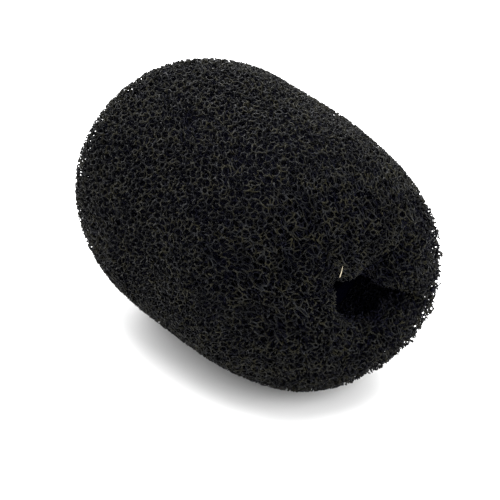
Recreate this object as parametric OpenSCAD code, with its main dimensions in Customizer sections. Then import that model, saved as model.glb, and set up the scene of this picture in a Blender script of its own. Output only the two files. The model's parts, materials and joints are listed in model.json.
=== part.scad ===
// Foam windscreen for a small microphone capsule, lying on its side.
// Millimetres. X is the windscreen's axis, with the mouth at +X, and Z is up.
// The origin is on the surface it lies on, below the middle of the barrel.

/* [Barrel] */
// Length of the foam barrel along its axis
barrel_len = 31.5; // [30.5:0.5:34]
// Diameter of the foam barrel
barrel_d = 22; // [21.5:0.5:25]
// Bluntness of the closed end: 2 is an ellipse, larger is squarer
back_blunt = 4.2; // [3:0.1:5]
// Bluntness of the mouth end
front_blunt = 2.8; // [2.7:0.1:4]
// How deep the side that it lies on is pressed flat
rest_flat = 0.15; // [0.1:0.05:0.3]

/* [Mouth] */
// Distance from the axis to each lip's fold line
fold_r = 3.3; // [3.2:0.1:3.5]
// Radius inside which the four lips stay
mouth_r = 4.2; // [4:0.1:4.4]
// Thickness of a lip
lip_t = 1; // [0.8:0.1:1.1]
// How far each lip dips towards the pocket at rest, in degrees
lip_dip = 12; // [6:1:16]
// How far a lip folds in when a capsule is pushed past it, in degrees from flat
fold_limit = 88; // [84:1:88]
// Width of the hole left between the lips' tips
mouth_hole = 2; // [1.2:0.1:2.2]
// Width of the crease between two lips
crease = 0.3; // [0.2:0.05:0.4]
// Turn of the lips about the axis, in degrees
mouth_turn = 13; // [0:1:20]
// Thickness of the foam rim in front of the fold lines
rim_t = 2; // [1.8:0.1:2.2]

/* [Pocket] */
// Bore of the retaining ring, which grips the microphone capsule
ring_bore_d = 6; // [5.4:0.1:6.2]
// Outer diameter of the retaining ring
ring_d = 8.8; // [8.6:0.1:9.4]
// Length of the retaining ring
ring_len = 4; // [3:0.5:4]
// Length of the foam neck in front of the ring
neck_len = 1.8; // [1.2:0.1:2.4]
// Diameter of that neck
neck_d = 7; // [6.6:0.1:7.4]
// Diameter of the pocket behind the ring
pocket_d = 7.2; // [6.6:0.1:8]
// Depth of the pocket's floor behind the front of the barrel
pocket_depth = 21; // [18:0.5:22]

/* [Hidden] */

$fn = 96;
outline_steps = 44;
eps = 0.01;

axis_z = barrel_d / 2 - rest_flat;
front_x = barrel_len / 2;
fold_x = front_x - rim_t;

// The room that a lip's heel needs when it is folded in
fold_clear = 0.2;
heel_r = fold_r + lip_t * sin(fold_limit);
lip_corner = mouth_r * cos(45);
chamber_r = sqrt(pow(heel_r, 2) + pow(lip_corner, 2)) + fold_clear;
chamber_len = (fold_r - mouth_hole / 2) + fold_clear + lip_t / 2;

chamber_back_x = fold_x - chamber_len;
ring_front_x = chamber_back_x - neck_len;
ring_back_x = ring_front_x - ring_len;
ring_chamfer = 0.4;
bead_len = 1.8;
bead_t = 0.35;
bead_x = ring_front_x - ring_len / 2;
pocket_floor_x = front_x - pocket_depth;

foam = [0.10, 0.10, 0.11];
lip_foam = [0.15, 0.15, 0.16];
ring_plastic = [0.22, 0.22, 0.24];
glue = [0.80, 0.72, 0.52];

// Turns a shape drawn about Z into one about the windscreen's axis:
// drawn X becomes Y, drawn Y becomes Z, and drawn Z becomes X.
module on_axis() {
    translate([0, 0, axis_z]) rotate([90, 0, 90]) children();
}

// A cylinder about the axis from one X to another
module bored(r, x0, x1) {
    translate([0, 0, x0]) cylinder(r = r, h = x1 - x0);
}

// Half of a superellipse from the back pole to the front pole, blunter at the back
function blunt(t) = t < 90 ? back_blunt : front_blunt;
function outline_point(t) = [
    barrel_d / 2 * pow(sin(t), 2 / blunt(t)),
    -sign(cos(t)) * barrel_len / 2 * pow(abs(cos(t)), 2 / blunt(t))
];

function barrel_outline() = [
    for (i = [0 : outline_steps]) outline_point(180 * i / outline_steps)
];

// The lips' own outline in front view, as one squared circle
module mouth_opening(grow) {
    intersection() {
        square(2 * (fold_r + grow), center = true);
        circle(r = mouth_r + grow);
    }
}

// Everything hollow in the foam, from the mouth to the pocket's floor
module hollow() {
    rotate([0, 0, mouth_turn])
        translate([0, 0, fold_x])
            linear_extrude(rim_t + fold_clear) mouth_opening(crease / 2);
    bored(chamber_r, chamber_back_x, fold_x + fold_clear / 2);
    bored(neck_d / 2, ring_front_x - eps, chamber_back_x + eps);
    bored(ring_d / 2, ring_back_x, ring_front_x);
    bored(pocket_d / 2, pocket_floor_x + pocket_d / 2, ring_back_x + eps);
    translate([0, 0, pocket_floor_x + pocket_d / 2]) sphere(d = pocket_d);
}

module foam_body() {
    color(foam)
        difference() {
            on_axis() rotate_extrude() polygon(barrel_outline());
            on_axis() hollow();
            translate([-barrel_len, -barrel_d, -barrel_d])
                cube([2 * barrel_len, 2 * barrel_d, barrel_d]);
        }
}

// One lip: a flat triangle with a blunt tip and cut corners, hinged at its base
module lip(turn) {
    foot = sqrt(pow(mouth_r, 2) - pow(fold_r, 2));
    corner_u = (fold_r - lip_corner) / cos(lip_dip);
    corner_v = lip_corner - crease / sqrt(2);
    tip_u = (fold_r - mouth_hole / 2) / cos(lip_dip);
    tip_v = mouth_hole / 2 - crease / sqrt(2);
    color(lip_foam)
        on_axis() rotate([0, 0, mouth_turn + turn])
            translate([fold_r, 0, fold_x]) rotate([0, -lip_dip, 0])
                translate([0, 0, -lip_t])
                    linear_extrude(lip_t)
                        polygon([
                            [0, -foot], [-corner_u, -corner_v], [-tip_u, -tip_v],
                            [-tip_u, tip_v], [-corner_u, corner_v], [0, foot]
                        ]);
}

module lip_left() { lip(0); }
module lip_top() { lip(90); }
module lip_right() { lip(180); }
module lip_bottom() { lip(270); }

// Plastic ring with a lead-in at both ends and a groove for its adhesive
module retaining_ring() {
    in_r = ring_bore_d / 2;
    out_r = ring_d / 2;
    color(ring_plastic)
        on_axis()
            rotate_extrude()
                polygon([
                    [in_r, ring_back_x + ring_chamfer],
                    [in_r + ring_chamfer, ring_back_x],
                    [out_r, ring_back_x],
                    [out_r, bead_x - bead_len / 2],
                    [out_r - bead_t, bead_x - bead_len / 2],
                    [out_r - bead_t, bead_x + bead_len / 2],
                    [out_r, bead_x + bead_len / 2],
                    [out_r, ring_front_x],
                    [in_r + ring_chamfer, ring_front_x],
                    [in_r, ring_front_x - ring_chamfer]
                ]);
}

// The band of adhesive that fills the ring's groove and holds it to the foam
module adhesive_bead() {
    color(glue)
        on_axis()
            difference() {
                bored(ring_d / 2, bead_x - bead_len / 2, bead_x + bead_len / 2);
                bored(ring_d / 2 - bead_t, bead_x - bead_len, bead_x + bead_len);
            }
}

foam_body();
lip_left();
lip_top();
lip_right();
lip_bottom();
retaining_ring();
adhesive_bead();
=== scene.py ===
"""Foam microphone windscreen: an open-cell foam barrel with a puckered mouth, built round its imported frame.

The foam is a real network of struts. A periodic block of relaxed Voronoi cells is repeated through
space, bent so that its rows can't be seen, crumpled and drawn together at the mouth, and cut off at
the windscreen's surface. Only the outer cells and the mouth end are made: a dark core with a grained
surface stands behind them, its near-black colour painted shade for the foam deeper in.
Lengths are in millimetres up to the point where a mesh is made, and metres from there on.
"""

import json
import math
from itertools import combinations

import bpy
import numpy as np
from mathutils import Euler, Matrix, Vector


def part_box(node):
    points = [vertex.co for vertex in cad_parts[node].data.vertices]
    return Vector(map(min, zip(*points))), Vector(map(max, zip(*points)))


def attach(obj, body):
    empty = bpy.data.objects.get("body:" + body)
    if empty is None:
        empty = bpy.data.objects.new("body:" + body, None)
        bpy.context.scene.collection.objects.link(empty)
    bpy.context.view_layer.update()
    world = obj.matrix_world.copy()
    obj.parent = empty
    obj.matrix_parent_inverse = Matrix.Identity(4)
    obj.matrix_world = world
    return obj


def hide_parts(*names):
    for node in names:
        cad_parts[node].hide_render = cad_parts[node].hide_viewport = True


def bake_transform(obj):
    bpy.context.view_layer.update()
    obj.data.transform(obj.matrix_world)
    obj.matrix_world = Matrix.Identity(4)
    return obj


MM = 0.001
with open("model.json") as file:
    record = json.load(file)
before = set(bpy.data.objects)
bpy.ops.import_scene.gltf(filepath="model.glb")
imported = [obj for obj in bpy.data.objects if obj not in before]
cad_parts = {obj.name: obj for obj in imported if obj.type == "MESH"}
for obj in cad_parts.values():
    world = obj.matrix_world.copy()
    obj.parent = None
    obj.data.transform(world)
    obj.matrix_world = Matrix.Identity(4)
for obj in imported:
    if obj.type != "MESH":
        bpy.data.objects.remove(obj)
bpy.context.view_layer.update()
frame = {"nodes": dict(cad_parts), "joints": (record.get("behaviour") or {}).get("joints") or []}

# ---------------------------------------------------------------- sizes, from the frame

BODY = "windscreen"
body_low, body_high = (np.array(c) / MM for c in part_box("foam_body"))
ring_low, ring_high = (np.array(c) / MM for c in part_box("retaining_ring"))
JOINTS = {j["child"]: j for j in frame["joints"]}

RADIUS = (body_high[1] - body_low[1]) / 2
HALF = -body_low[0]
AXIS_Z = (ring_low[2] + ring_high[2]) / 2
BACK_BLUNT, FRONT_BLUNT = 4.2, 2.8  # 2 is an ellipse, larger is squarer
RING_R = (ring_high[1] - ring_low[1]) / 2
RING_FRONT, RING_BACK = ring_high[0], ring_low[0]
NECK_R = 3.5
POCKET_R = 3.6
POCKET_FLOOR = HALF - 21.0
POCKET_END = POCKET_FLOOR + POCKET_R  # where the pocket's round end starts
CHAMBER_R = 5.4
CHAMBER_BACK = RING_FRONT + 1.8
FOLD_X = JOINTS["lip_left"]["pos_m"][0] / MM
LIP_T = 1.0
OVERLAP = 0.1  # how far hollows that open into each other overlap

PITCH = 0.62  # cube root of a cell's volume
CELLS = 700  # in the block that repeats
STRUT_R, NODE_R = 0.053, 0.088  # a strut's radius in its middle and at its ends
CUT_R = STRUT_R * 1.1  # and where the surface cuts it off
THINNEST, THICKEST = 0.85, 1.2  # these radii are multiplied by something between these
SHORTEST = 0.015  # shorter struts are left out
PROUD = 0.06  # how far the cut ends stand out from the plain barrel
LUMP = 0.07  # unevenness of the cut surface
SKIN = 1.25  # depth of the network over the core
CORE_DEPTH = 0.92
PAINTED_SHADE_DEPTH = 0.34  # struts deeper than this have the inner finish, painted shade that is darker and bluer,
PAINTED_SHADE_INSIDE = 2.2  # and so has everything this far inside the barrel
SEED = 11


def from_axis(p):
    """Places relative to the windscreen's axis."""
    return p - (0, 0, AXIS_Z)


def smooth(t, start=0, over=1):
    """From 0 to 1, eased, while t goes from start to start + over."""
    t = np.clip((t - start) / over, 0, 1)
    return t * t * (3 - 2 * t)


def to_side(p, turn):
    """How far to one side each point lies in front view, from -1 to 1. p is relative to the axis."""
    r = np.maximum(np.hypot(p[:, 1], p[:, 2]), 0.1)
    return (p[:, 1] * math.cos(turn) + p[:, 2] * math.sin(turn)) / r


def add_object(name, data):
    """A new object in the scene, for a mesh, a light or a camera."""
    made = bpy.data.objects.new(name, data)
    bpy.context.scene.collection.objects.link(made)
    return made


# ---------------------------------------------------------------- the foam's outline

RIM_OVER = 2.2  # the rim's bulge and its fray reach their full size over this length
BULGE_X, BULGE_TURN = 10.6, math.radians(5)  # where the bulge starts, and the side that it is on
BULGE = 0.40  # how far the mouth's rim swells there
FRAY_X, FRAY_TURN = 10.3, math.radians(-25)  # where the fray starts, and the side that it is on
FRAY_SIDE, FRAY_SIDE_OVER = 0.15, 0.6  # how far round from there it fades, as to_side() gives it
FRAY_R, FRAY_R_OVER = 4.5, 2  # and how near to the axis
FRAY_RAGGED = 0.2  # how uneven the frayed side of the rim is
FRAY_DEPTH, FRAY_LOSS = 0.9, 0.42  # how deep struts are missing there, and what share of them


def frayed(p):
    """How worn the foam is, from 0 to 1, at one side of the mouth's rim. p is relative to the axis."""
    at_rim = smooth(p[:, 0], FRAY_X, RIM_OVER)
    on_side = smooth(to_side(p, FRAY_TURN), FRAY_SIDE, FRAY_SIDE_OVER)
    return at_rim * on_side * smooth(np.hypot(p[:, 1], p[:, 2]), FRAY_R, FRAY_R_OVER)


def unevenness(p):
    """How far the surface is pressed in: long waves, and waves of a few cells where it is frayed."""
    x, y, z = p.T
    long_waves = np.sin(0.55 * x + 1.3) * np.sin(0.5 * y + 0.4)
    long_waves += np.sin(0.43 * z + 0.9 * np.sin(0.3 * x) + 2.0)
    short_waves = np.sin(5.1 * x + 2.0 * y) * np.sin(4.6 * z - 1.4 * y + 1.0)
    return LUMP * long_waves + FRAY_RAGGED * frayed(p) * short_waves


def barrel_gap(p):
    """Signed distance from the plain barrel's surface, negative inside. p is relative to the axis."""
    x, r = np.abs(p[:, 0]) / HALF, np.hypot(p[:, 1], p[:, 2]) / RADIUS
    n = np.where(p[:, 0] < 0, BACK_BLUNT, FRONT_BLUNT)
    f = (x**n + r**n) ** (1 / n) + 1e-9
    slope = f ** (1 - n) * np.hypot(x ** (n - 1) / HALF, r ** (n - 1) / RADIUS)
    bulge = BULGE * smooth(p[:, 0], BULGE_X, RIM_OVER) * smooth(to_side(p, BULGE_TURN))
    return (f - 1) / np.maximum(slope, 0.02) + unevenness(p) - bulge - PROUD


# The creases: angle about the axis in degrees, length, how deep and how wide
CREASES = [
    (-19, 7.2, 4.1, 0.95),
    (-42, 4.8, 1.9, 1.0),
    (52, 6.4, 2.2, 1.6),
    (-78, 3.8, 1.3, 1.2),
    (142, 4.6, 2.6, 0.62),
    (238, 2.9, 1.6, 0.8),
]
CREASE_WANDER = 0.22  # how far a crease is off a straight line
HOLE_TURN = math.radians(-29)
HOLE_AT = (0.0, -0.36)
HOLE_LONG, HOLE_WIDE, HOLE_DEEP = 2.6, 1.48, 6.0
HOLE_SLOPE = 0.4  # the share of the hole's size over which its wall goes down
FUNNEL_DEEP, FUNNEL_R = 1.1, 3.0
MOUTH_END, MOUTH_OVER = 5, 1.5  # what is carved reaches this far from the mouth end, and fades out


def mouth_carve(y, z):
    """How deep the mouth end is drawn in at a place in front view."""
    rho = np.hypot(y, z)
    funnel = FUNNEL_DEEP * np.exp(-((rho / FUNNEL_R) ** 2))
    hy, hz = y - HOLE_AT[0], z - HOLE_AT[1]
    u = (hy * math.cos(HOLE_TURN) + hz * math.sin(HOLE_TURN)) / HOLE_LONG
    v = (-hy * math.sin(HOLE_TURN) + hz * math.cos(HOLE_TURN)) / HOLE_WIDE
    hole = HOLE_DEEP * smooth((1 + HOLE_SLOPE / 2 - np.hypot(u, v)) / HOLE_SLOPE)
    depth = funnel + hole
    for turn, length, deep, wide in CREASES:
        a = math.radians(turn)
        along = y * math.cos(a) + z * math.sin(a)
        off = np.abs(-y * math.sin(a) + z * math.cos(a) + CREASE_WANDER * np.sin(1.1 * along + turn))
        fade = np.clip(1 - along / length, 0, 1) ** 0.6 * smooth(along / 0.8)
        depth += deep * fade * np.exp(-((off / wide) ** 1.6))
    return depth


def hollow_gap(p):
    """Signed distance from everything hollow inside, negative in it. p is relative to the axis."""
    x, r = p[:, 0], np.hypot(p[:, 1], p[:, 2])
    thicker = 0.3 * np.exp(-((r / 2.5) ** 2))  # the lips are a little thicker in the middle
    lips_back = FOLD_X - LIP_T - thicker
    chamber = np.maximum(np.maximum(r - CHAMBER_R, x - lips_back), CHAMBER_BACK - x)
    neck = np.maximum(np.maximum(r - NECK_R, x - CHAMBER_BACK - OVERLAP), RING_FRONT - x)
    seat = np.maximum(np.maximum(r - RING_R, x - RING_FRONT - OVERLAP), RING_BACK - x)
    pocket = np.maximum(r - POCKET_R, x - RING_BACK)
    pocket = np.where(x < POCKET_END, np.hypot(r, x - POCKET_END) - POCKET_R, pocket)
    return np.minimum(np.minimum(chamber, neck), np.minimum(seat, pocket))


def foam_gap(p):
    """Signed distance from the foam's own surface, negative in the foam. p is in the frame's own place."""
    q = from_axis(p)
    d = barrel_gap(q)
    front = q[:, 0] > HALF - MOUTH_END
    d[front] += mouth_carve(q[front, 1], q[front, 2]) * smooth(q[front, 0], HALF - MOUTH_END, MOUTH_OVER)
    d = np.maximum(d, -hollow_gap(q))
    above_floor = 1.3 * NODE_R
    return np.maximum(d, above_floor - p[:, 2])


# ---------------------------------------------------------------- the network of struts


def relaxed_seeds(count, side, rng, rounds=28, share=0.3):
    """Random cell centres in a periodic cube, pushed apart until they are evenly spaced."""
    p = rng.random((count, 3)) * side
    reach = 1.02 * (side**3 / count) ** (1 / 3)
    for _ in range(rounds):
        d = p[:, None] - p[None]
        d -= side * np.round(d / side)
        not_itself = np.eye(count) * 9 * side
        r = np.sqrt((d**2).sum(-1)) + not_itself
        push = np.clip(reach - r, 0, None) / r
        p = (p + share * (d * push[..., None]).sum(1)) % side
    return p


def named(members):
    """A set of cells in the periodic block as one name, with the shift that was taken off it."""
    members = sorted(members)
    base = np.array(members[0][1:])
    return tuple((m[0], *(np.array(m[1:]) - base)) for m in members), base


NEIGHBOURS = 34  # how many of the cells nearest to a cell are tried for corners with it
NEAR = 2.3  # how far off they are at most, in pitches
WIDEST = 1.15  # how far a corner is from its cells' centres at most, in pitches


def voronoi_block(seeds, side):
    """The edges between periodic Voronoi cells: corner places, and each edge's two corners and shift."""
    count = len(seeds)
    pitch = (side**3 / count) ** (1 / 3)
    shifts = np.array([(i, j, k) for i in (-1, 0, 1) for j in (-1, 0, 1) for k in (-1, 0, 1)])
    points = (seeds[None] + side * shifts[:, None]).reshape(-1, 3)
    cell = np.tile(np.arange(count), len(shifts))
    shift = np.repeat(shifts, count, axis=0)
    corners = {}
    for i in range(count):
        d = points - seeds[i]
        r = np.sqrt((d**2).sum(1))
        near = np.nonzero((r < NEAR * pitch) & (r > 1e-9))[0]
        near = near[np.argsort(r[near])][:NEIGHBOURS]
        q = d[near]
        triples = np.array(list(combinations(range(len(near)), 3)))
        m = q[triples]
        solid = np.abs(np.linalg.det(m)) > 1e-5 * pitch**3
        triples, m = triples[solid], m[solid]
        centre = np.linalg.solve(m, 0.5 * (m**2).sum(-1)[..., None])[..., 0]
        reach = (centre**2).sum(-1)
        small = reach < (WIDEST * pitch) ** 2
        triples, centre, reach = triples[small], centre[small], reach[small]
        inside = ((q[None] - centre[:, None]) ** 2).sum(-1) < reach[:, None] * (1 - 1e-7)
        empty = ~inside.any(1)
        for t, c in zip(triples[empty], centre[empty]):
            others = [(int(cell[near[k]]), *map(int, shift[near[k]])) for k in t]
            key, base = named([(i, 0, 0, 0)] + others)
            corners.setdefault(key, c + seeds[i] - side * base)
    edges = {}
    for v, key in enumerate(corners):
        for drop in range(4):
            edge, base = named([key[k] for k in range(4) if k != drop])
            edges.setdefault(edge, []).append((v, base))
    pairs = [ends for ends in edges.values() if len(ends) == 2]
    a = np.array([e[0][0] for e in pairs])
    b = np.array([e[1][0] for e in pairs])
    shift = np.array([e[0][1] - e[1][1] for e in pairs])
    return np.array(list(corners.values())), a, b, shift


def settled(place, a, b, shift, side, rounds=3, share=0.35):
    """Corners moved towards the middle of their neighbours, as surface tension evens out a foam."""
    for _ in range(rounds):
        total, seen = np.zeros_like(place), np.zeros(len(place))
        span = place[b] + side * shift - place[a]
        np.add.at(total, a, span)
        np.add.at(total, b, -span)
        np.add.at(seen, a, 1)
        np.add.at(seen, b, 1)
        place = place + share * total / np.maximum(seen, 1)[:, None]
    return place


TILT = np.array(Euler((0.55, 0.75, 0.3)).to_matrix())  # so that no row of cells runs along the barrel
CRUMPLE, CRUMPLE_X, CRUMPLE_OVER = 0.17, 9, 4
DRAW, DRAW_X, DRAW_OVER = 0.12, 7, 6


def bent(p):
    """The block's place in the foam: turned, bent, and crumpled and drawn together at the mouth."""
    x, y, z = (p @ TILT.T).T
    x, y, z = (
        x + 0.2 * np.sin(0.61 * y + 0.4) + 0.14 * np.sin(0.83 * z + 1.7),
        y + 0.2 * np.sin(0.57 * z + 2.1) + 0.14 * np.sin(0.79 * x + 0.3),
        z + 0.2 * np.sin(0.63 * x + 1.1) + 0.14 * np.sin(0.74 * y + 2.6),
    )
    crumple = CRUMPLE * smooth(x, CRUMPLE_X, CRUMPLE_OVER)
    x, y, z = (
        x + crumple * np.sin(3.9 * y + 1.1 * z),
        y + crumple * np.sin(4.3 * z + 1.7 * x + 1.0),
        z + crumple * np.sin(4.1 * x + 1.3 * y + 2.0),
    )
    draw = 1 - DRAW * smooth(x, DRAW_X, DRAW_OVER)
    return np.stack([x, y * draw, z * draw + AXIS_Z], axis=1)


OUTSIDE = 0.4  # a strut whose middle is further out of the foam than this doesn't reach it
WHOLE_X, WHOLE_OVER, WHOLE_DEEP = RING_FRONT - 1.2, 1.0, 9  # from here on the network has its full depth
CORE_FRONT = RING_FRONT - 0.8  # up to here the core hides what is deeper than the skin


def wanted(middle):
    """Which struts can be seen, from their middles: the outer cells and the whole mouth end."""
    gap = foam_gap(middle)
    depth = SKIN + WHOLE_DEEP * smooth(middle[:, 0], WHOLE_X, WHOLE_OVER)
    hidden = (middle[:, 0] < CORE_FRONT) & (barrel_gap(from_axis(middle)) < -SKIN)
    return (gap < OUTSIDE) & (gap > -depth) & ~hidden


def cut_off(p, q, cut_p, cut_q, height):
    """Struts from p to q where height() is positive, and which of their ends are cut now or were before."""
    hp, hq = height(p), height(q)
    stay = (hp > 0) | (hq > 0)
    p, q, cut_p, cut_q, hp, hq = (v[stay] for v in (p, q, cut_p, cut_q, hp, hq))
    t = (hp / np.where(hp == hq, 1, hp - hq))[:, None]
    cut = p + (q - p) * np.clip(t, 0, 1)
    low_p, low_q = hp <= 0, hq <= 0
    return (
        np.where(low_p[:, None], cut, p),
        np.where(low_q[:, None], cut, q),
        cut_p | low_p,
        cut_q | low_q,
    )


def attached(p, q):
    """Which struts are joined, end to end, to the largest network. The others would float."""
    ends = np.round(np.concatenate([p, q]) * 1000).astype(np.int64)
    node = np.unique(ends, axis=0, return_inverse=True)[1].ravel()
    a, b = node[: len(p)], node[len(p) :]
    group = np.arange(node.max() + 1)
    while True:
        low = np.minimum(group[a], group[b])
        joined = group.copy()
        np.minimum.at(joined, a, low)
        np.minimum.at(joined, b, low)
        joined = joined[joined]
        if (joined == group).all():
            break
        group = joined
    return group[a] == np.bincount(group[a]).argmax()


def struts_in_foam(rng):
    """Both ends of every strut that is wanted, cut off at the foam's surface, and which ends were cut."""
    side = PITCH * CELLS ** (1 / 3)
    place, a, b, shift = voronoi_block(relaxed_seeds(CELLS, side, rng), side)
    place = settled(place, a, b, shift, side)
    reach = math.ceil(math.hypot(HALF, RADIUS) / side) + 1
    kept_p, kept_q = [], []
    for block in np.ndindex((2 * reach + 1,) * 3):
        move = side * (np.array(block) - reach)
        if barrel_gap(from_axis(bent(move[None] + side / 2)))[0] > side:
            continue
        p, q = bent(place[a] + move), bent(place[b] + side * shift + move)
        want = wanted((p + q) / 2)
        kept_p.append(p[want])
        kept_q.append(q[want])
    p, q = np.concatenate(kept_p), np.concatenate(kept_q)
    middle = from_axis((p + q) / 2)
    lost = FRAY_LOSS * frayed(middle) * (barrel_gap(middle) > -FRAY_DEPTH)
    stay = rng.random(len(p)) >= lost
    uncut = np.zeros(stay.sum(), dtype=bool)
    parts = cut_off(p[stay], q[stay], uncut, uncut, lambda v: -foam_gap(v))
    stay = attached(*parts[:2])
    return tuple(part[stay] for part in parts)


def strut_mesh(name, p, q, cut_p, cut_q, rng):
    """One mesh of three-sided struts, waisted in the middle, each closed at both ends."""
    d = q - p
    length = np.linalg.norm(d, axis=1)
    stay = length > SHORTEST
    p, q, d, length = p[stay], q[stay], d[stay], length[stay]
    cut_p, cut_q = cut_p[stay], cut_q[stay]
    d = d / length[:, None]
    across = np.cross(d, rng.normal(size=d.shape))
    across /= np.linalg.norm(across, axis=1)[:, None]
    other = np.cross(d, across)
    thick = rng.uniform(THINNEST, THICKEST, len(p))
    end_p = np.where(cut_p, CUT_R, NODE_R) * thick
    end_q = np.where(cut_q, CUT_R, NODE_R) * thick
    corners = []
    for along, radius in ((0, end_p), (0.5, STRUT_R * thick), (1, end_q)):
        centre = p + d * (length * along)[:, None]
        for k in range(3):
            angle = 2 * math.pi * k / 3
            side = math.cos(angle) * across + math.sin(angle) * other
            corners.append(centre + radius[:, None] * side)
    verts = np.stack(corners, axis=1).reshape(-1, 3) * MM
    quads = [(r + k, r + (k + 1) % 3, r + 3 + (k + 1) % 3, r + 3 + k) for r in (0, 3) for k in range(3)]
    ends = [(2, 1, 0), (6, 7, 8)]
    base = len(corners) * np.arange(len(p))
    loops = np.array([v for face in quads + ends for v in face])
    sizes = np.array([4] * len(quads) + [3] * len(ends))
    all_loops = (base[:, None] + loops[None]).ravel()
    all_sizes = np.tile(sizes, len(p))
    starts = np.concatenate([[0], np.cumsum(all_sizes)[:-1]])
    middle = (p + q) / 2
    # Struts deep in the foam, and everything far inside the barrel, take the second finish, which is painted
    # shade.
    in_painted_shade = (foam_gap(middle) < -PAINTED_SHADE_DEPTH) | (barrel_gap(from_axis(middle)) < -PAINTED_SHADE_INSIDE)
    mesh = bpy.data.meshes.new(name)
    mesh.vertices.add(len(verts))
    mesh.vertices.foreach_set("co", verts.astype(np.float32).ravel())
    mesh.loops.add(len(all_loops))
    mesh.loops.foreach_set("vertex_index", all_loops.astype(np.int32))
    mesh.polygons.add(len(all_sizes))
    mesh.polygons.foreach_set("loop_start", starts.astype(np.int32))
    mesh.polygons.foreach_set("loop_total", all_sizes.astype(np.int32))
    mesh.polygons.foreach_set("material_index", np.repeat(in_painted_shade, len(sizes)).astype(np.int32))
    mesh.update(calc_edges=True)
    mesh.validate()
    return add_object(name, mesh)


# ---------------------------------------------------------------- materials

OUTER_DARK, OUTER_LIGHT = (0.0020, 0.0021, 0.0032, 1), (0.0142, 0.0136, 0.0127, 1)
# The inner finish is painted shade: the same foam made darker and bluer for struts deep in the foam.
SHADED_INNER_DARK, SHADED_INNER_LIGHT = (0.0004, 0.0004, 0.0045, 1), (0.0060, 0.0059, 0.0104, 1)
OLIVE, SLATE = (1.0, 0.96, 0.55, 1), (0.74, 0.82, 1.0, 1)  # the foam's colour is multiplied by these
# The core's colours are painted shade: near black for the foam deeper in, darker and bluer in each cell's
# middle, where the pores are.
SHADED_CORE_EDGE, SHADED_CORE_PORE = (0.004, 0.004, 0.005, 1), (0.0010, 0.0009, 0.0052, 1)
# The ring's colours are far darker than black plastic: painted shade, so that the ring stays as dark as the
# hole.
RING_SHADED_DARK, RING_SHADED_LIGHT = (0.0004, 0.0004, 0.0030, 1), (0.0008, 0.0008, 0.0050, 1)
AMBER_DARK, AMBER_LIGHT = (0.30, 0.25, 0.16, 1), (0.50, 0.44, 0.32, 1)
TABLE_WHITE = (0.92, 0.92, 0.92, 1)


def material(name, roughness, specular=0.5):
    """A new material, with its nodes, links and shader."""
    made = bpy.data.materials.new(name)
    made.use_nodes = True
    nodes = made.node_tree.nodes
    shader = nodes["Principled BSDF"]
    shader.inputs["Roughness"].default_value = roughness
    shader.inputs["Specular IOR Level"].default_value = specular
    return made, nodes, made.node_tree.links, shader


def noise_over(nodes, links, scale, detail=2, roughness=0.5):
    """Noise that is fixed to the piece. The scale is the number of features in a metre."""
    place = nodes.new("ShaderNodeTexCoord")
    noise = nodes.new("ShaderNodeTexNoise")
    noise.inputs["Scale"].default_value = scale
    noise.inputs["Detail"].default_value = detail
    noise.inputs["Roughness"].default_value = roughness
    links.new(place.outputs["Object"], noise.inputs["Vector"])
    return noise.outputs["Fac"]


def ramp_over(nodes, links, value, dark, light, start=0, end=1):
    """A colour from dark to light while a value goes from start to end."""
    ramp = nodes.new("ShaderNodeValToRGB")
    ramp.color_ramp.elements[0].position = start
    ramp.color_ramp.elements[0].color = dark
    ramp.color_ramp.elements[1].position = end
    ramp.color_ramp.elements[1].color = light
    links.new(value, ramp.inputs["Fac"])
    return ramp.outputs["Color"]


def add_bump(nodes, links, shader, height, strength, distance, invert=False):
    """Gives a shader a relief. The distance is in metres."""
    bump = nodes.new("ShaderNodeBump")
    bump.inputs["Strength"].default_value = strength
    bump.inputs["Distance"].default_value = distance
    bump.invert = invert
    links.new(height, bump.inputs["Height"])
    links.new(bump.outputs["Normal"], shader.inputs["Normal"])


def strut_material(name, dark, light):
    """Black polyurethane with a faint sheen: blotches a few cells wide, and a tint from cell to cell."""
    made, nodes, links, shader = material(name, roughness=0.5, specular=0.09)
    blotches = noise_over(nodes, links, 720, detail=2, roughness=0.6)
    colour = ramp_over(nodes, links, blotches, dark, light, 0.40, 0.61)
    patches = noise_over(nodes, links, 1900, detail=1)
    tint = ramp_over(nodes, links, patches, OLIVE, SLATE, 0.36, 0.64)
    tinted = nodes.new("ShaderNodeMix")
    tinted.data_type = "RGBA"
    tinted.blend_type = "MULTIPLY"
    tinted.inputs["Factor"].default_value = 1
    first, second, result = tinted.inputs[6], tinted.inputs[7], tinted.outputs[2]  # its colour sockets
    links.new(colour, first)
    links.new(tint, second)
    links.new(result, shader.inputs["Base Color"])
    return made


def shaded_core_material():
    """What is behind the outer cells: near black as painted shade for the foam deeper in, with a cell-sized
    grain darkest in each cell's middle as painted shade in the pores.
    """
    made, nodes, links, shader = material("foam_core_painted_shade", roughness=0.95, specular=0.05)
    place = nodes.new("ShaderNodeTexCoord")
    cells = nodes.new("ShaderNodeTexVoronoi")
    cells.feature = "DISTANCE_TO_EDGE"
    cells.inputs["Scale"].default_value = 1 / (PITCH * MM)
    links.new(place.outputs["Object"], cells.inputs["Vector"])
    from_edge = cells.outputs["Distance"]
    colour = ramp_over(nodes, links, from_edge, SHADED_CORE_EDGE, SHADED_CORE_PORE, 0.02, 0.16)
    links.new(colour, shader.inputs["Base Color"])
    add_bump(nodes, links, shader, from_edge, 0.8, 0.1 * MM, invert=True)
    return made


def ring_material():
    """Dark moulded plastic with a fine matt grain, made far darker than black plastic as painted shade, so
    that it looks as dark as the hole it sits behind.
    """
    made, nodes, links, shader = material("ring_plastic", roughness=0.9, specular=0.02)
    grain = noise_over(nodes, links, 2500)
    colour = ramp_over(nodes, links, grain, RING_SHADED_DARK, RING_SHADED_LIGHT)
    links.new(colour, shader.inputs["Base Color"])
    add_bump(nodes, links, shader, grain, 0.25, 0.02 * MM)
    return made


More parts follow.
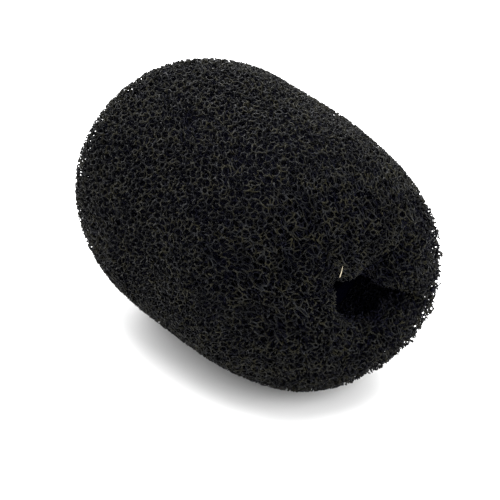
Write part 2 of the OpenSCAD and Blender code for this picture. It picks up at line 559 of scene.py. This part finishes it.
def adhesive_material():
    """Dried contact adhesive: pale amber, uneven and a little glossy."""
    made, nodes, links, shader = material("adhesive", roughness=0.35)
    uneven = noise_over(nodes, links, 1400, detail=4)
    colour = ramp_over(nodes, links, uneven, AMBER_DARK, AMBER_LIGHT)
    links.new(colour, shader.inputs["Base Color"])
    return made


# ---------------------------------------------------------------- foam pieces


def lathe(name, outline, steps=160):
    """A closed solid of revolution about the windscreen's axis. outline is (x, r), from pole to pole."""
    verts, faces = [], []
    count = len(outline)
    for s in range(steps):
        a = 2 * math.pi * s / steps
        for x, r in outline:
            verts.append((x * MM, r * math.cos(a) * MM, (AXIS_Z + r * math.sin(a)) * MM))
    for s in range(steps):
        for i in range(count - 1):
            t = (s + 1) % steps
            faces.append((s * count + i, s * count + i + 1, t * count + i + 1, t * count + i))
    mesh = bpy.data.meshes.new(name)
    mesh.from_pydata(verts, [], faces)
    return add_object(name, mesh)


def core_outline(outer_steps=120, end_steps=24, pole=0.01):
    """The core's wall: round the outside at a set depth, over the front edge, and back down the pocket."""
    outline = []
    front = RING_FRONT + 0.2
    for i in range(outer_steps + 1):
        t = math.pi * i / outer_steps
        n = BACK_BLUNT if t < math.pi / 2 else FRONT_BLUNT
        x = -math.copysign((HALF - CORE_DEPTH) * abs(math.cos(t)) ** (2 / n), math.cos(t))
        if x > front:
            break
        outline.append((x, max((RADIUS - CORE_DEPTH) * math.sin(t) ** (2 / n), pole)))
    neck = NECK_R + 0.25
    outline += [(front, neck), (RING_FRONT, neck), (RING_FRONT, RING_R)]
    outline += [(RING_BACK, RING_R), (RING_BACK, POCKET_R)]
    for i in range(end_steps + 1):
        t = math.pi / 2 * i / end_steps
        outline.append((POCKET_END - POCKET_R * math.sin(t), max(POCKET_R * math.cos(t), pole)))
    return outline


def add_core():
    """The dark solid behind the outer cells, which stands in for the body's own foam; its near-black colour
    is painted shade.
    """
    core = lathe("foam_core_painted_shade", core_outline())
    core.data.materials.append(shaded_core_material())
    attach(core, BODY)
    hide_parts("foam_body")


def lip_directions():
    """Each lip's name with its outward direction in front view, from its fold axis."""
    found = {}
    for child, joint in JOINTS.items():
        axis = joint["axis"]
        found[child] = np.array([0.0, -axis[2], axis[1]])
    return found


LIPS = lip_directions()
BLEND_OUT, BLEND_IN = 4.1, 2.7  # how far out from the axis the lips' cells reach
LIP_DEPTH = 3.2
LIP_GAP = 0.02  # between the cells of neighbouring lips
MOST_STRUTS = 13000  # in one piece, at 14 triangles each: the exporter's limit is 200,000


def lip_share(p):
    """Which lip each point belongs to, and how far inside the lips' region it is."""
    q = from_axis(p)
    reach = np.stack([q @ direction for direction in LIPS.values()], axis=1)
    inside = np.minimum(BLEND_OUT - reach.max(1), q[:, 0] - (HALF - LIP_DEPTH))
    return reach.argmax(1), inside


def bend_with_lip(piece):
    """Bakes a piece's placement into its mesh, without attaching it to the body or to a lip."""
    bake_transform(piece)


def add_body_cells(parts, rng, finishes):
    """The body's network, in slices from the closed end to the mouth."""
    p, q = parts[:2]
    order = np.argsort((p[:, 0] + q[:, 0]) / 2, kind="stable")
    slices = np.array_split(order, math.ceil(len(order) / MOST_STRUTS))
    for number, chosen in enumerate(slices, 1):
        piece = strut_mesh(f"foam_cells_{number}", *(part[chosen] for part in parts), rng)
        for finish in finishes:
            piece.data.materials.append(finish)
        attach(piece, BODY)


def add_lip_cells(name, parts, rng, finishes):
    """One lip's network, cut off half way to the lips on both sides of it."""
    for other, direction in LIPS.items():
        if other == name or LIPS[name] @ direction < -0.5:
            continue
        apart = (LIPS[name] - direction) / math.sqrt(2)
        parts = cut_off(*parts, lambda v, n=apart: from_axis(v) @ n - LIP_GAP / 2)
    piece = strut_mesh(f"{name}_cells", *parts, rng)
    for finish in finishes:
        piece.data.materials.append(finish)
    bend_with_lip(piece)
    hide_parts(name)


def build_foam():
    """The whole network, shared out between the body and the lips, with the core behind it."""
    rng = np.random.default_rng(SEED)
    parts = struts_in_foam(rng)
    finishes = [
        strut_material("foam_struts", OUTER_DARK, OUTER_LIGHT),
        # The second finish is painted shade for the struts deep in the foam.
        strut_material("foam_inner_painted_shade", SHADED_INNER_DARK, SHADED_INNER_LIGHT),
    ]
    nearest, inside = lip_share((parts[0] + parts[1]) / 2)
    add_core()
    add_body_cells([part[inside <= 0] for part in parts], rng, finishes)
    for number, name in enumerate(LIPS):
        mine = (inside > 0) & (nearest == number)
        add_lip_cells(name, [part[mine] for part in parts], rng, finishes)


# ---------------------------------------------------------------- the ring and the adhesive

# The strand's foot, bend and tip, relative to the axis
WHISKER = [(15.15, -2.67, 3.0), (15.42, -2.68, 3.55), (15.5, -2.64, 4.14)]
WHISKER_R = 0.055


def add_whisker(rings=9, sides=6):
    """A hair-thin strand of dried adhesive that stands on the upper lip's edge."""
    foot, bend, tip = (np.array(v) + (0, 0, AXIS_Z) for v in WHISKER)
    verts, faces = [], []
    for i in range(rings):
        t = i / (rings - 1)
        centre = (1 - t) ** 2 * foot + 2 * t * (1 - t) * bend + t**2 * tip
        radius = WHISKER_R * (1 - 0.75 * t**1.5) * min(1, 0.4 + 4 * t)
        along = (1 - t) * (bend - foot) + t * (tip - bend)
        across = np.cross(along, (1, 0.2, 0))
        across /= np.linalg.norm(across)
        other = np.cross(across, along / np.linalg.norm(along))
        for k in range(sides):
            a = 2 * math.pi * k / sides
            verts.append((centre + radius * (math.cos(a) * across + 0.7 * math.sin(a) * other)) * MM)
    for i in range(rings - 1):
        for k in range(sides):
            m = (k + 1) % sides
            faces.append((i * sides + k, i * sides + m, (i + 1) * sides + m, (i + 1) * sides + k))
    faces += [tuple(reversed(range(sides))), tuple(range((rings - 1) * sides, rings * sides))]
    mesh = bpy.data.meshes.new("glue_whisker")
    mesh.from_pydata(verts, [], faces)
    for face in mesh.polygons:
        face.use_smooth = True
    mesh.materials.append(adhesive_material())
    piece = add_object("glue_whisker", mesh)
    bend_with_lip(piece)


def dress_ring():
    """The ring and the adhesive bead keep their CAD shapes and only get materials."""
    for node, finish in (("retaining_ring", ring_material()), ("adhesive_bead", adhesive_material())):
        for slot in frame["nodes"][node].material_slots:
            slot.material = finish


# ---------------------------------------------------------------- camera, floor and light

AZIMUTH, ELEVATION = math.radians(56.7), math.radians(28)
DISTANCE = 0.300
FRAME_WIDTH = 40.3 * MM
ABOVE, BESIDE = 1.85 * MM, 0.8 * MM  # how far the windscreen's middle is off the picture's middle


def set_camera():
    """The camera looks down at the mouth end from the right."""
    back = Vector(
        (
            math.sin(AZIMUTH) * math.cos(ELEVATION),
            -math.cos(AZIMUTH) * math.cos(ELEVATION),
            math.sin(ELEVATION),
        )
    )
    turn = back.to_track_quat("Z", "Y")
    right, up = turn @ Vector((1, 0, 0)), turn @ Vector((0, 1, 0))
    middle = Vector((0, 0, AXIS_Z * MM))
    target = middle - right * BESIDE - up * ABOVE
    data = bpy.data.cameras.new("camera")
    data.sensor_width = 36
    data.lens = data.sensor_width * DISTANCE / FRAME_WIDTH
    data.clip_start = 0.01
    camera = add_object("camera", data)
    camera.rotation_mode = "QUATERNION"
    camera.rotation_quaternion = turn
    camera.location = target + back * DISTANCE
    bpy.context.scene.camera = camera


def set_floor(size=2.0):
    """A white table that the windscreen lies on. The size is half its width, in metres."""
    mesh = bpy.data.meshes.new("floor")
    corners = [(-size, -size, 0), (size, -size, 0), (size, size, 0), (-size, size, 0)]
    mesh.from_pydata(corners, [], [(0, 1, 2, 3)])
    floor = add_object("floor", mesh)
    made, nodes, links, shader = material("white_table", roughness=0.9, specular=0.1)
    shader.inputs["Base Color"].default_value = TABLE_WHITE
    mesh.materials.append(made)


WORLD_STRENGTH = 1.3
# Each light's place and size in metres, and its power in watts
LIGHTS = {
    "key": ((0.03, 0.05, 0.50), 0.60, 3.8),
    "left": ((-0.45, -0.04, 0.28), 0.35, 2.2),
    "right": ((0.45, 0.06, 0.28), 0.35, 2.2),
    "back": ((-0.33, 0.22, 0.20), 0.35, 1.4),
}


def set_light():
    """An even white room, with soft lights from above, from both sides and from behind."""
    world = bpy.data.worlds.new("studio")
    world.use_nodes = True
    world.node_tree.nodes["Background"].inputs["Color"].default_value = (1, 1, 1, 1)
    world.node_tree.nodes["Background"].inputs["Strength"].default_value = WORLD_STRENGTH
    bpy.context.scene.world = world
    for name, (place, size, power) in LIGHTS.items():
        data = bpy.data.lights.new(name, "AREA")
        data.shape = "DISK"
        data.size = size
        data.energy = power
        light = add_object(name, data)
        light.location = place
        aim = Vector((0, 0, AXIS_Z * MM)) - Vector(place)
        light.rotation_mode = "QUATERNION"
        light.rotation_quaternion = aim.to_track_quat("-Z", "Y")
    bpy.context.scene.view_settings.view_transform = "Standard"


set_camera()
build_foam()
add_whisker()
dress_ring()
set_floor()
set_light()
